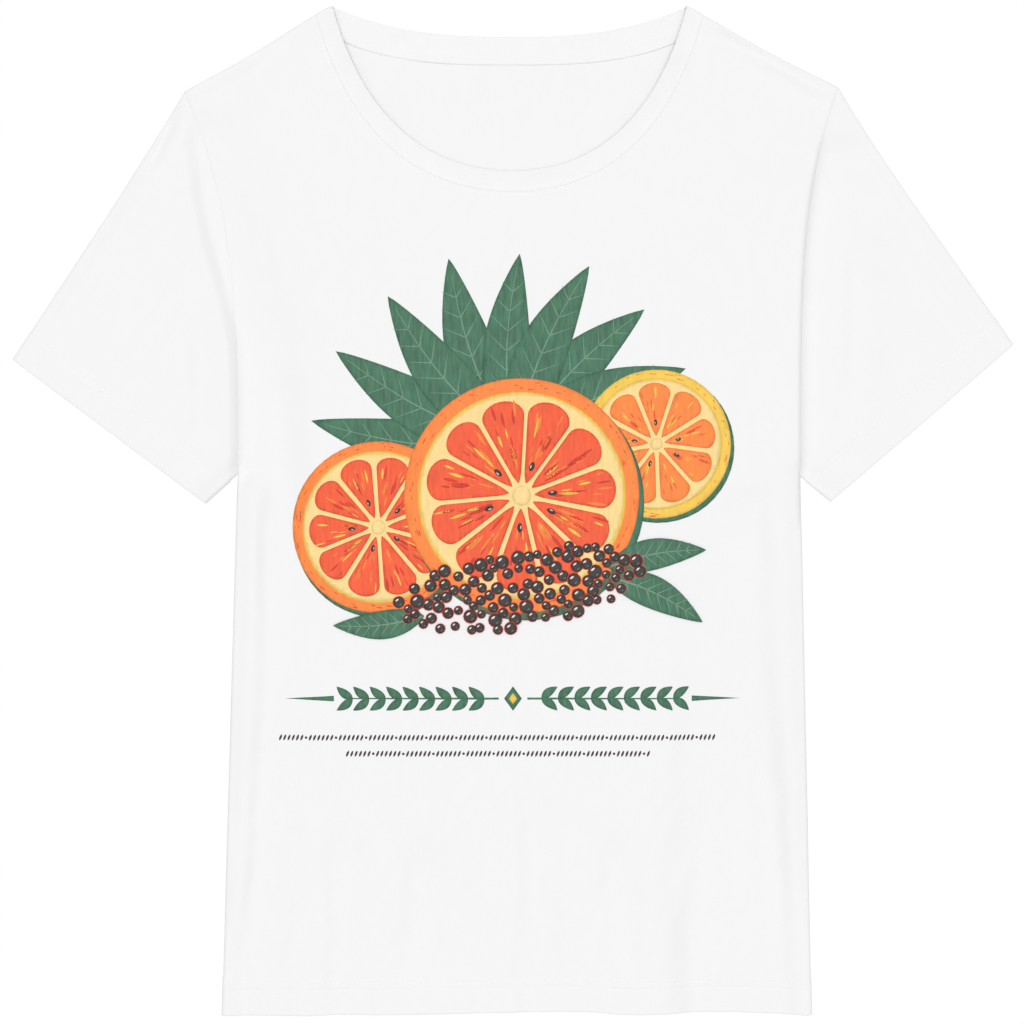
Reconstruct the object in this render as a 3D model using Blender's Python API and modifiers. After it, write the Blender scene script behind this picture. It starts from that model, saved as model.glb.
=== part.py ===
"""T-shirt lying on its back: a front and a back panel, two short sleeves and a neckband.

Metres, +Z up. The back lies on Z = 0 with the front above it and air between them. +Y points to the collar
and +X to the right of the shirt as it is seen from above. The hem, the sleeve ends and the neck are open.
Run with: blender --background --python part.py
"""

import math

import bmesh
import bpy
from mathutils import Vector, geometry

# Flat sizes of the shirt. It is the same on both sides of X = 0.
LENGTH = 0.706
SLEEVE_SPAN = 0.700
SHOULDER_WIDTH = 0.456
CHEST_WIDTH = 0.393
HEM_WIDTH = 0.412
SHOULDER_DROP = 0.059
ARMPIT_DROP = 0.328
ARMHOLE_SWEEP = 3.9
CUFF_OUTER_DROP = 0.243
CUFF_INNER_DROP = 0.3475
CUFF_INNER_HALF = 0.2195

# Neck opening. A strip of ribbing runs round it and is folded flat at the shoulders.
NECK_WIDTH = 0.248
NECK_DROP_FRONT = 0.115
NECK_DROP_BACK = 0.021
BAND_WIDTH_FRONT = 0.0155
BAND_WIDTH_BACK = 0.020
BAND_STEP_OUT = 0.0135
BAND_STEP_DOWN = 0.0068
NECK_STEEP_HANDLE = (0.15, 0.63)
NECK_FLAT_HANDLE = 0.51
BACK_EDGE_POWER = 2.7
BACK_SEAM_POWER = 3.4

# Thicknesses and heights of the middle of the fabric. The two layers meet half way up, in a rounded fold.
FABRIC = 0.0012
RIBBING = 0.0018
FOLD_REACH = 0.008
BACK_HEIGHT = FABRIC / 2
FRONT_HEIGHT = 0.0124
NECK_HEIGHT = 0.0075
NECK_SLOPE = 0.080
OPEN_END_HEIGHT = 0.0095
OPEN_END_SLOPE = 0.060
SEAM_GAP = 0.0003

# Mesh density: steps between the fold rows, which are given as shares of the fold's reach. A panel and the
# neckband have the same steps along the seam between them, so that their gap is even.
FOLD_ROWS = (0.12, 0.45, 1.0)
ACROSS_STEPS = 8
SIDE_STEPS = 10
FRONT_CHEST_STEPS = 8
FRONT_NECK_STEPS = 10
BACK_CHEST_STEPS = 10
BACK_NECK_STEPS = 6
SLEEVE_ACROSS_STEPS = 10
SLEEVE_ALONG_STEPS = 8
BAND_STEPS = 2

CURVE_POINTS = 40
MERGE = 0.00001

# Share of the armhole's height that the back's row through its seam's lowest point ends at.
BACK_SPLIT = 0.85

WHITE_JERSEY = (0.905, 0.905, 0.91, 1.0)
WHITE_RIB = (0.93, 0.93, 0.935, 1.0)
JERSEY_ROUGHNESS = 0.85
RIB_ROUGHNESS = 0.9
SHARP_ANGLE = math.radians(45)

TOP = LENGTH / 2
HEM = -LENGTH / 2
BAND_CORNER = Vector((NECK_WIDTH / 2, TOP - RIBBING / 2))
NECK_CORNER = BAND_CORNER + Vector((BAND_STEP_OUT, -BAND_STEP_DOWN))
SHOULDER_TIP = Vector((SHOULDER_WIDTH / 2, TOP - SHOULDER_DROP))
CUFF_OUTER = Vector((SLEEVE_SPAN / 2, TOP - CUFF_OUTER_DROP))
CUFF_INNER = Vector((CUFF_INNER_HALF, TOP - CUFF_INNER_DROP))
ARMPIT = Vector((CHEST_WIDTH / 2, TOP - ARMPIT_DROP))
HEM_CORNER = Vector((HEM_WIDTH / 2, HEM))
HEM_MIDDLE = Vector((0, HEM))


def armhole_x(y):
    """How far out the armhole seam is at a height of the shirt, which is the armpit's below the armpit."""
    share = (y - ARMPIT.y) / (SHOULDER_TIP.y - ARMPIT.y)
    share = min(max(share, 0), 1)
    return ARMPIT.x + (SHOULDER_TIP.x - ARMPIT.x) * share**ARMHOLE_SWEEP


def armhole(start=0.0, end=1.0):
    """The armhole seam between two shares of its height, from the armpit's side up."""
    low = ARMPIT.y + (SHOULDER_TIP.y - ARMPIT.y) * start
    high = ARMPIT.y + (SHOULDER_TIP.y - ARMPIT.y) * end
    heights = [low + (high - low) * i / CURVE_POINTS for i in range(CURVE_POINTS + 1)]
    return [Vector((armhole_x(y), y)) for y in heights]


def front_neckline(corner, drop):
    """The right half of a neckline of the front, from the middle up to a corner at the shoulder."""
    middle = Vector((0, TOP - drop))
    fall = corner.y - middle.y
    steep = Vector((corner.x * (1 - NECK_STEEP_HANDLE[0]), corner.y - fall * NECK_STEEP_HANDLE[1]))
    flat = Vector((corner.x * NECK_FLAT_HANDLE, middle.y))
    return [Vector(p[:2]) for p in geometry.interpolate_bezier(middle, flat, steep, corner, CURVE_POINTS)]


def back_neckline(corner, drop, power):
    """The right half of a neckline of the back, from the middle up to a corner at the shoulder."""
    low = TOP - drop
    shares = [i / CURVE_POINTS for i in range(CURVE_POINTS + 1)]
    return [Vector((corner.x * s, low + (corner.y - low) * s**power)) for s in shares]


FRONT_EDGE = front_neckline(BAND_CORNER, NECK_DROP_FRONT)
FRONT_SEAM = front_neckline(NECK_CORNER, NECK_DROP_FRONT + BAND_WIDTH_FRONT)
BACK_EDGE = back_neckline(BAND_CORNER, NECK_DROP_BACK, BACK_EDGE_POWER)
BACK_SEAM = back_neckline(NECK_CORNER, NECK_DROP_BACK + BAND_WIDTH_BACK, BACK_SEAM_POWER)
FOLDS = (
    [BAND_CORNER, NECK_CORNER, SHOULDER_TIP, CUFF_OUTER],
    [CUFF_INNER, ARMPIT, HEM_CORNER],
)
OPEN_ENDS = ([CUFF_OUTER, CUFF_INNER], [HEM_MIDDLE, HEM_CORNER])


def distance(point, curve):
    """From a point to the nearest place on a curve of straight stretches."""
    nearest = math.inf
    for start, end in zip(curve, curve[1:]):
        place, share = geometry.intersect_point_line(point, start, end)
        place = start.lerp(end, min(max(share, 0), 1))
        nearest = min(nearest, (point - place).length)
    return nearest


def ease(share):
    """0 at 0 and below, 1 at 1 and above, and smooth between."""
    share = min(max(share, 0), 1)
    return share * share * (3 - 2 * share)


def front_level(point):
    """The height of the front away from its folds: it sinks to the neck and to the open ends."""
    from_neck = ease(distance(point, FRONT_EDGE) / NECK_SLOPE)
    from_end = ease(min(distance(point, end) for end in OPEN_ENDS) / OPEN_END_SLOPE)
    sunk = (FRONT_HEIGHT - NECK_HEIGHT) * (1 - from_neck) + (FRONT_HEIGHT - OPEN_END_HEIGHT) * (1 - from_end)
    return FRONT_HEIGHT - sunk


def fold_level(point):
    """The height at which the front and the back meet."""
    return (front_level(point) + BACK_HEIGHT) / 2


def placed(point, layer, thickness=FABRIC):
    """A flat point with its height: layer is 1 on the front and -1 on the back, which lies on Z = 0."""
    right = Vector((abs(point.x), point.y))
    share = min(min(distance(right, fold) for fold in FOLDS) / FOLD_REACH, 1)
    turn = math.sqrt(1 - (1 - share) ** 2)
    away = front_level(right) if layer > 0 else thickness / 2
    meeting = fold_level(right)
    return Vector((point.x, point.y, meeting + (away - meeting) * turn))


def marks(length, steps, fold_start=False, fold_end=False):
    """Distances from 0 to length in even steps, with closer rows inside the folds at its ends."""
    rows = [share * FOLD_REACH for share in FOLD_ROWS]
    low = rows[-1] if fold_start else 0
    high = length - (rows[-1] if fold_end else 0)
    even = [low + (high - low) * i / steps for i in range(steps + 1)]
    before = [0, *rows[:-1]] if fold_start else []
    after = [length - row for row in reversed([0, *rows[:-1]])] if fold_end else []
    return before + even + after


def along(curve, steps, **folds):
    """Points on a curve at the distances that marks gives."""
    lengths = [(end - start).length for start, end in zip(curve, curve[1:])]
    points = []
    for mark in marks(sum(lengths), steps, **folds):
        i = 0
        while i < len(lengths) - 1 and mark > lengths[i]:
            mark -= lengths[i]
            i += 1
        points.append(curve[i].lerp(curve[i + 1], min(mark / lengths[i], 1)))
    return points


def joined(*stretches):
    """Stretches of points end to end, each end that two of them share counted once."""
    points = list(stretches[0])
    for stretch in stretches[1:]:
        points += stretch[1:]
    return points


def panel_net(seam, split, chest_steps, neck_steps):
    """Rows of points of a panel's right half, from the hem up to the shoulder, each from the middle outwards.

    split is the share of the armhole's height that the row through the seam's lowest point ends at.
    """
    level = Vector((0, ARMPIT.y))
    inner = joined(
        along([HEM_MIDDLE, level], SIDE_STEPS),
        along([level, seam[0]], chest_steps),
        along(seam, neck_steps, fold_end=True),
    )
    outer = joined(
        along([HEM_CORNER, ARMPIT], SIDE_STEPS),
        along(armhole(0, split), chest_steps),
        along(armhole(split, 1), neck_steps, fold_end=True),
    )
    return [along([start, end], ACROSS_STEPS, fold_end=True) for start, end in zip(inner, outer)]


def sleeve_net(side):
    """Rings of points round a sleeve, from the armhole to the cuff, each with its height."""
    seam = armhole()
    rings = []
    for row in range(SLEEVE_ALONG_STEPS + 1):
        share = row / SLEEVE_ALONG_STEPS
        cuff = [CUFF_INNER.lerp(CUFF_OUTER, i / CURVE_POINTS) for i in range(CURVE_POINTS + 1)]
        line = [start.lerp(end, share) for start, end in zip(seam, cuff)]
        across = along(line, SLEEVE_ACROSS_STEPS, fold_start=True, fold_end=True)
        across = [Vector((p.x * side, p.y)) for p in across]
        over = [placed(p, 1) for p in across]
        under = [placed(p, -1) for p in reversed(across)]
        rings.append(over + under[1:])
    return rings


def band_net():
    """Rings of points round the neckband, from the seam to the free edge, each with its height."""
    fronts = [mirrored(curve) for curve in (FRONT_SEAM, FRONT_EDGE)]
    backs = [mirrored(curve) for curve in (BACK_SEAM, BACK_EDGE)]
    over = [along(curve, 2 * FRONT_NECK_STEPS, fold_start=True, fold_end=True) for curve in fronts]
    under = [along(curve, 2 * BACK_NECK_STEPS, fold_start=True, fold_end=True) for curve in backs]
    start = SEAM_GAP / BAND_WIDTH_FRONT
    rings = []
    for row in range(BAND_STEPS + 1):
        share = start + (1 - start) * row / BAND_STEPS
        front = [placed(a.lerp(b, share), 1, RIBBING) for a, b in zip(*over)]
        back = [placed(a.lerp(b, share), -1, RIBBING) for a, b in zip(*under)]
        rings.append(front + back[::-1][1:])
    return rings


def mirrored(half):
    """A whole neckline, from left to right, from its right half."""
    return [Vector((-p.x, p.y)) for p in reversed(half)] + half[1:]


def surface(name, net):
    """An open surface through rows of points, as an object. Points that meet become one."""
    columns, rows = len(net[0]) - 1, len(net) - 1
    mesh = bpy.data.meshes.new(name)
    work = bmesh.new()
    bmesh.ops.create_grid(work, x_segments=columns, y_segments=rows, size=1)
    for vert in work.verts:
        i = round((vert.co.x + 1) / 2 * columns)
        j = round((vert.co.y + 1) / 2 * rows)
        vert.co = net[j][i]
    bmesh.ops.remove_doubles(work, verts=work.verts, dist=MERGE)
    work.to_mesh(mesh)
    work.free()
    return bpy.data.objects.new(name, mesh)


def thickened(obj, thickness, collection):
    """Gives the surface its thickness, half to each side, and keeps the result as the object's mesh."""
    collection.objects.link(obj)
    shell = obj.modifiers.new("Fabric", "SOLIDIFY")
    shell.thickness = thickness
    shell.offset = 0
    shell.use_even_offset = True
    graph = bpy.context.evaluated_depsgraph_get()
    solid = bpy.data.meshes.new_from_object(obj.evaluated_get(graph))
    obj.modifiers.clear()
    surface_mesh = obj.data
    obj.data = solid
    bpy.data.meshes.remove(surface_mesh)
    solid.name = obj.name


def add_panel(name, net, layer, collection):
    """A front or back panel: half of it mirrored, thickened, and trimmed to its seams."""
    obj = surface(name, [[placed(p, layer) for p in row] for row in net])
    mirror = obj.modifiers.new("Other half", "MIRROR")
    mirror.use_clip = True
    mirror.merge_threshold = MERGE
    thickened(obj, FABRIC, collection)
    for vert in obj.data.vertices:
        right = Vector((abs(vert.co.x), vert.co.y))
        if right.y > ARMPIT.y - FABRIC:
            limit = armhole_x(right.y) - SEAM_GAP / 2
            vert.co.x = min(max(vert.co.x, -limit), limit)
        meeting = fold_level(right) + layer * SEAM_GAP / 2
        vert.co.z = layer * max(layer * vert.co.z, layer * meeting)
    return obj


def add_sleeve(name, side, collection):
    """A sleeve: a flattened tube from the armhole to the cuff, trimmed to the armhole."""
    obj = surface(name, sleeve_net(side))
    thickened(obj, FABRIC, collection)
    for vert in obj.data.vertices:
        limit = armhole_x(vert.co.y) + SEAM_GAP / 2
        vert.co.x = side * max(side * vert.co.x, limit)
    return obj


def add_neckband(name, collection):
    """The ring of ribbing, kept clear of the panels by the seam's gap."""
    obj = surface(name, band_net())
    thickened(obj, RIBBING, collection)
    return obj


def finish(obj, colour, roughness):
    """Smooth shading and a material of the object's own."""
    obj.data.shade_smooth()
    obj.data.set_sharp_from_angle(angle=SHARP_ANGLE)
    material = bpy.data.materials.new(obj.name)
    material.use_nodes = True
    shader = material.node_tree.nodes["Principled BSDF"]
    shader.inputs["Base Color"].default_value = colour
    shader.inputs["Roughness"].default_value = roughness
    shader.inputs["Metallic"].default_value = 0
    obj.data.materials.clear()
    obj.data.materials.append(material)


def main():
    for obj in list(bpy.data.objects):
        bpy.data.objects.remove(obj)
    shirt = bpy.data.collections.new("T-shirt")
    bpy.context.scene.collection.children.link(shirt)
    neck_share = (FRONT_SEAM[0].y - ARMPIT.y) / (SHOULDER_TIP.y - ARMPIT.y)
    front_net = panel_net(FRONT_SEAM, neck_share, FRONT_CHEST_STEPS, FRONT_NECK_STEPS)
    back_net = panel_net(BACK_SEAM, BACK_SPLIT, BACK_CHEST_STEPS, BACK_NECK_STEPS)
    front = add_panel("front", front_net, 1, shirt)
    back = add_panel("back", back_net, -1, shirt)
    left = add_sleeve("sleeve_left", -1, shirt)
    right = add_sleeve("sleeve_right", 1, shirt)
    band = add_neckband("neckband", shirt)
    for obj in (front, back, left, right):
        finish(obj, WHITE_JERSEY, JERSEY_ROUGHNESS)
    finish(band, WHITE_RIB, RIB_ROUGHNESS)


main()
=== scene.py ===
"""Looks of a white short-sleeved T-shirt that lies on its back with its printed side up.

Metres, +Z up, +Y to the collar. The cloth is laid out in flat nets between the shirt's corners, and each
point then gets its height: the level of its layer, the folds, the seams and the slow unevenness of the cloth.
"""

import math

import bmesh
import bpy
import numpy as np
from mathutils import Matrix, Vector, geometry


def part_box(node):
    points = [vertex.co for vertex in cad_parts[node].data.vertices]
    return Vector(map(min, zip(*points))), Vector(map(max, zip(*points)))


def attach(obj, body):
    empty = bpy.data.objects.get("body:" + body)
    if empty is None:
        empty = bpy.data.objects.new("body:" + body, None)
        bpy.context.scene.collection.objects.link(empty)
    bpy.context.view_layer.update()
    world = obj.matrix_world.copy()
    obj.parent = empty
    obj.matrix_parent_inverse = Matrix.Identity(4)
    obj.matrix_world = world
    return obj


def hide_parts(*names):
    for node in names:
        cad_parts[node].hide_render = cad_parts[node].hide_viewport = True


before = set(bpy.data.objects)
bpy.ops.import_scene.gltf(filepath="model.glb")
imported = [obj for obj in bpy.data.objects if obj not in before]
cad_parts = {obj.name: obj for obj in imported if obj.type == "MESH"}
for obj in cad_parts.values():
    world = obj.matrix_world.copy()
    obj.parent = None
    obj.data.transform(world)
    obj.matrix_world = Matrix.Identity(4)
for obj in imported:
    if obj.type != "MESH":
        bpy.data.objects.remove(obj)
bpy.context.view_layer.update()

# Corners of the shirt seen from above. Its two sides don't lie quite alike.
LEFT, RIGHT = -1, 1
SIDES = (LEFT, RIGHT)
CORNERS = {
    LEFT: {
        "band": (-0.1264, 0.353),
        "neck": (-0.1379, 0.3466),
        "shoulder": (-0.2296, 0.2926),
        "cuff_outer": (-0.3496, 0.105),
        "cuff_inner": (-0.2156, 0.0049),
        "armpit": (-0.1924, 0.0259),
        "hem": (-0.2032, -0.3522),
    },
    RIGHT: {
        "band": (0.1216, 0.353),
        "neck": (0.133, 0.3463),
        "shoulder": (0.2275, 0.2954),
        "cuff_outer": (0.3496, 0.1155),
        "cuff_inner": (0.2233, 0.0063),
        "armpit": (0.2009, 0.0245),
        "hem": (0.2086, -0.3522),
    },
}
ARMHOLE_SWEEP = {LEFT: 3.1, RIGHT: 3.9}

# How far the folded edges along the top of each sleeve and shoulder lie inside their straight lines. The
# scales bring the curves of the bows to a height of 1.
SLEEVE_BOW = {LEFT: 0.0012, RIGHT: 0.0018}
SHOULDER_BOW = 0.0014
SHOULDER_BOW_REACH = 0.035
BOW_POINTS = 13
SLEEVE_BOW_SCALE = 27 / 4
SHOULDER_BOW_SCALE = 16

# Necklines: the lowest point of each, and how it bends up to the shoulder.
FRONT_EDGE_LOW = 0.2382
FRONT_SEAM_LOW = 0.2226
BACK_EDGE_LOW = 0.332
BACK_SEAM_LOW = 0.3122
BAND_WIDTH = FRONT_EDGE_LOW - FRONT_SEAM_LOW
NECK_STEEP_HANDLE = (0.15, 0.63)
NECK_FLAT_HANDLE = 0.51
BACK_EDGE_BEND = (2.7, 0.0)
BACK_SEAM_BEND = (3.0, 0.0098)
LATE_POWER = 20

# How far the hem's edge lies above or below its straight line, at places across the shirt.
HEM_WAVE = (
    (-0.2037, -0.0016), (-0.0994, -0.0006), (0.0077, 0.0012), (0.0483, 0.0018),
    (0.0833, -0.0005), (0.1526, 0.0007), (0.2086, -0.0012),
)
HEM_WAVE_REACH = 0.09

# Cloth thicknesses. Hems are of two layers, and the edges of the cloth are rounded.
JERSEY = 0.0008
RIB = 0.0014
HEM_LAYERS = 2
HEM_DEPTH = 0.0235
CUFF_DEPTH = 0.023
HEM_TAPER = 0.0008
EDGE_ROUND = 0.0008
THINNEST = 0.25
THINNEST_SEAM = 0.88

# Heights of the middle of the cloth. The front sinks to the neck and to the open ends, as the solids do.
FRONT_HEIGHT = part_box("front")[1].z - JERSEY
NECK_HEIGHT = 0.0065
NECK_SLOPE = 0.08
OPEN_END_HEIGHT = 0.0112
OPEN_END_SLOPE = 0.06
SIDE_HEIGHT = 0.0088
SIDE_SLOPE = 0.014
LOWEST = 0.0021
LOWEST_ROUND = 0.0016
BACK_HEIGHT = JERSEY * 0.6
BACK_SLACK = 0.0002
BACK_WAVES = 0.5
BACK_HEM_LIFT = 0.0004
HEM_RISE = 0.02
FOLD_REACH = 0.0017
FOLD_MEETING = 0.7
EDGE_SNAP = 0.00006
BAND_EDGE_HEIGHT = ((0.2382, 0.0017), (0.25, 0.0022), (0.28, 0.0031), (0.353, 0.0038))
BAND_BEND = 1.4
BACK_BAND_LIFT = 0.0003

# Nets: steps of the cloth, and closer rows near an edge and about the stitching. The neckband's rows are
# shares of its width.
CLOSE_ROWS = (0.0003, 0.0008, 0.0016, 0.0028, 0.0045, 0.007)
HEM_ROWS = (
    0.0003, 0.0008, 0.0016, 0.004, 0.008, 0.012, 0.015, 0.0164, 0.0172, 0.0178,
    0.0184, 0.0196, 0.0208, 0.0215, 0.0222, 0.023, 0.0238, 0.025,
)
SHORT_LINE = 0.08
FRONT_STEP = 0.0029
BACK_STEP = 0.0045
BAND_ROWS = 7
BAND_SEAM_ROWS = (0.02, 0.06)
BAND_EDGE_ROWS = (0.02, 0.05, 0.1)
CURVE_POINTS = 60
WELD = 0.000001
HIGHEST_SPLIT = 0.85
ROW_FALL = 0.11
NECK_ROWS_SHARE = 1.5

# Seams: a groove where two pieces meet. At the armhole the cloth falls towards the sleeve by the fall and
# over the reach, each given at places up the seam, from the lead before it. Further out it comes back.
GROOVE_DEPTH = 0.00008
GROOVE_WIDTH = 0.0011
LIP_RISE = 0.00016
LIP_PLACE = 0.0036
LIP_WIDTH = 0.0017
ARMHOLE_GROOVE = {LEFT: 0.00045, RIGHT: 0.0001}
ARMHOLE_GROOVE_WIDTH = 0.001
ARMHOLE_FALL = {
    LEFT: ((-0.02, 0), (0, 0.0003), (0.2954, 0.0003)),
    RIGHT: (
        (-0.02, 0), (0, 0.0078), (0.215, 0.0078), (0.245, 0.006), (0.27, 0.0018), (0.2954, 0.0005),
    ),
}
ARMHOLE_REACH = {LEFT: ((0.0259, 0.003), (0.2954, 0.003)), RIGHT: ((0.0245, 0.0056), (0.2954, 0.005))}
ARMHOLE_LEAD = {LEFT: 0, RIGHT: 0.0022}
SLEEVE_RETURN = 0.07
ARMPIT_FADE = 0.004

# Stitching: rows of short stitches, each at a distance from an edge or a seam, in a groove of its own depth.
# A stitch is a rod of rings, each with its place along the stitch and its share of the radius.
HEM_STITCHES = ((0.0178, 0.0003), (0.0215, 0.00004))
CUFF_STITCHES = ((0.0182, 0.00004), (0.0214, 0.00028))
NECK_STITCHES = ((0.0021, 0.00002),)
STITCH_LENGTH = 0.0026
STITCH_PITCH = 0.0033
STITCH_RADIUS = 0.00022
STITCH_SIDES = 6
STITCH_RINGS = ((-0.5, 0.35), (-0.38, 0.9), (0, 1.0), (0.38, 0.9), (0.5, 0.35))
STITCH_WIDENING = 1.3
STITCH_SINK = 0.2
BACK_GROOVE_DEPTH = 0.00006
STITCH_GROOVE_WIDTH = 0.0007

# Folds: a route with the fold's strength at each of its points, its depth, and how wide it is to the right
# and to the left of its way. A fold is a valley, mostly with one steep flank and one long gentle one.
FOLDS = (
    (
        ((-0.1695, 0.024, 0), (-0.17, -0.01, 1), (-0.1705, -0.08, 1), (-0.1709, -0.12, 0.8),
         (-0.1757, -0.203, 0.8), (-0.1771, -0.245, 1), (-0.182, -0.28, 1), (-0.1874, -0.312, 1),
         (-0.189, -0.39, 1)),
        0.0048, 0.0126, 0.045,
    ),
    (
        ((0.121, -0.035, 0), (0.1276, -0.091, 0.35), (0.1297, -0.15, 0.6), (0.1297, -0.235, 0.85),
         (0.1297, -0.29, 1), (0.129, -0.39, 1)),
        0.0078, 0.027, 0.05,
    ),
    (
        ((0.1665, 0.022, 0), (0.167, -0.02, 0.6), (0.168, -0.07, 0.5), (0.1705, -0.12, 0.7),
         (0.1765, -0.19, 1), (0.1825, -0.26, 0.9), (0.188, -0.31, 0.9), (0.191, -0.39, 0.9)),
        0.0074, 0.052, 0.019,
    ),
    (((-0.064, -0.215, 0), (-0.064, -0.26, 1), (-0.064, -0.3, 1), (-0.064, -0.345, 0)), 0.004, 0.026, 0.04),
    (((0.0126, -0.18, 0), (0.0126, -0.23, 1), (0.0126, -0.31, 1), (0.0126, -0.39, 1)), 0.003, 0.015, 0.03),
    (((0.07, -0.22, 0), (0.07, -0.25, 1), (0.07, -0.29, 1), (0.07, -0.33, 0)), 0.0028, 0.015, 0.03),
    (((-0.122, -0.215, 0), (-0.122, -0.25, 1), (-0.122, -0.315, 1), (-0.122, -0.39, 1)), 0.003, 0.015, 0.034),
    (((-0.164, 0.11, 0), (-0.164, 0.07, 1), (-0.164, 0.02, 1), (-0.164, -0.02, 0)), 0.0034, 0.013, 0.026),
    (
        ((0.1296, 0.3402, 0), (0.15, 0.329, 0.8), (0.185, 0.31, 1), (0.215, 0.294, 1), (0.2241, 0.2893, 0.3)),
        0.003, 0.013, 0.007,
    ),
    (((-0.2286, 0.2909, 0), (-0.21, 0.3013, 1), (-0.185, 0.315, 1), (-0.16, 0.329, 0)), 0.0016, 0.011, 0.003),
    (((-0.213, 0.286, 0), (-0.2, 0.292, 1), (-0.185, 0.298, 0)), 0.0012, 0.01, 0.01),
    (((-0.19, 0.02, 0), (-0.16, 0.005, 1), (-0.12, -0.005, 0)), 0.0012, 0.01, 0.02),
    (((0.196, 0.018, 0), (0.17, 0.003, 1), (0.135, -0.008, 0)), 0.0012, 0.02, 0.01),
    (
        ((-0.2205, 0.29, 0), (-0.2184, 0.252, 0.55), (-0.2142, 0.217, 0.75), (-0.2072, 0.186, 0.85),
         (-0.196, 0.147, 0.9), (-0.1892, 0.118, 1.15), (-0.1876, 0.08, 1.2), (-0.1874, 0.032, 1.2),
         (-0.188, 0.005, 0)),
        0.007, 0.0125, 0.06,
    ),
    (((-0.2317, 0.2919, 0), (-0.242, 0.266, 1), (-0.25, 0.248, 1), (-0.256, 0.234, 0)), 0.0022, 0.004, 0.01),
    (((-0.218, 0.15, 0), (-0.218, 0.11, 1), (-0.218, 0.06, 1), (-0.218, 0.04, 0)), 0.002, 0.011, 0.03),
    (((0.242, 0.2, 0), (0.242, 0.16, 1), (0.241, 0.1, 1), (0.239, 0.05, 0)), 0.0036, 0.014, 0.035),
)

# Unevenness of the cloth: sums of waves, with their lengths, their steepness and the spread of their turns.
# The ripples run down the lower part of the body only.
WAVES = 28
SLOW_WAVES = ((0.025, 0.14), 0.03, 0.7)
WAVE_SEED = 7
RIPPLES = ((0.009, 0.034), 0.08, 0.3)
RIPPLE_SEED = 3
RIPPLE_TOP = -0.06
RIPPLE_RISE = 0.15

# Ribbing of the neckband.
RIB_PITCH = 0.0013
RIB_RELIEF = 0.00005
RIB_RISE = 0.01
COLUMNS_PER_RIB = 4

# Cloth: the size of a loop, noises as scale and detail, bumps as strength and depth, and the colours that
# the cloth has under this light.
WALE = 0.0009
COURSE = 0.0007
NOISE_ROUGHNESS = 0.55
PATCHES = (110.0, 4.0)
FIBRES = (900.0, 2.0)
RIB_PATCHES = (60.0, 3.0)
MOTTLE = 0.006
RIB_MOTTLE = 0.01
KNIT_BUMP = (0.18, 0.00012)
PATCH_BUMP = (0.2, 0.0005)
RIB_BUMP = (0.15, 0.0001)
THREAD_BUMP = (0.3, 0.00005)
THREAD_TWIST = 14000.0
SHEEN = 0.06
CLOTH_SHINE = 0.2
JERSEY_COLOUR = (0.784, 0.784, 0.79)
RIB_COLOUR = (0.792, 0.792, 0.798)
# The thread is lighter than the jersey. This is partly its own whiter colour and partly a painted highlight
# along the raised rows of stitches.
THREAD_COLOUR_WITH_PAINTED_HIGHLIGHT = (0.87, 0.87, 0.876)

# Print: inks with their colour and how streaked they are, the film they lie in, and the look of its strokes.
INKS = {
    "green": (0x4A755D, 0.22),
    "pale_green": (0x7C9F88, 0.1),
    "orange": (0xFF8C47, 0.1),
    "red_orange": (0xF4623F, 0.12),
    "deep_red": (0xDD463A, 0.1),
    "yellow": (0xF6CB58, 0.08),
    "cream": (0xFBDC95, 0.05),
    "charcoal": (0x46403D, 0.12),
    "white": (0xF4F2EE, 0.02),
}
INK_GAIN = 1.17
INK_LIFT = 0.00012
INK_LAYER = 0.00003
INK_FILM = 0.0001
INK_STEP = 0.003
INK_MARGIN = 0.3
INK_MERGE = 0.0000001
DISC_STEP = 0.0012
DISC_POINTS = (12, 160)
INK_STREAK_TURN = 0.9
STROKES = (420.0, 3.0)
WEAR = (70.0, 5.0)
INK_BUMP = (0.15, 0.0001)
INK_SHINE = 0.25
PRINT_SEED = 11

# Motifs of the print, in the shirt's own places: leaves behind, three slices of round fruit, and berries in
# front. A leaf has a turn in degrees, a length and a width. In a slice, the rings, the pulp and the pips are
# shares of its radius, and PORES and PULP are counts for a metre of it.
LEAF_BASE = (0.0, 0.045)
LEAF_BEND = 0.05
LEAF_VEINS = 7
LEAF_SWELL = 0.8
LEAF_FULLNESS = 0.85
MIDRIB_SPAN = (0.02, 0.93)
MIDRIB_WIDTHS = (0.0016, 0.0004)
VEIN_SPAN = (0.18, 0.8)
VEIN_REACH = 0.4
VEIN_SLANT = 0.9
VEIN_WIDTHS = (0.0009, 0.0002)
LEAVES = (
    (-83, 0.142, 0.034), (-62, 0.14, 0.037), (-40, 0.136, 0.037), (-19, 0.138, 0.036),
    (2, 0.134, 0.034), (23, 0.136, 0.036), (44, 0.132, 0.036), (66, 0.132, 0.036),
)
ORANGE_SLICE = ("green", "orange", "cream", "red_orange", "deep_red", "orange")
YELLOW_SLICE = ("green", "yellow", "cream", "orange", "red_orange", "yellow")
WHEELS = (
    (6, (0.1, 0.046), 0.052, 12, 9, YELLOW_SLICE, 3),
    (6, (-0.094, -0.012), 0.06, 40, 10, ORANGE_SLICE, 4),
    (14, (0.006, 0.01), 0.082, 5, 11, ORANGE_SLICE, 5),
)
SKIN_SHIFT = (0.035, -0.05)
PORES = 900
PORE_RING = (0.905, 0.975)
PORE_LENGTHS = (0.0015, 0.005)
PORE_WIDTH = 0.0005
RIND_LINE = 0.885
PITH = 0.865
FLESH_START = 0.11
FLESH_ENDS = (0.805, 0.83)
FLESH_GAP = 0.0011
PULP = 170
PULP_RING = (0.3, 0.74)
PULP_LENGTHS = (0.08, 0.19)
PIP_RING = (0.25, 0.31)
PIP_LENGTH = 0.085
HEART = 0.085
FRONT_LAYER = 22
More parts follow.
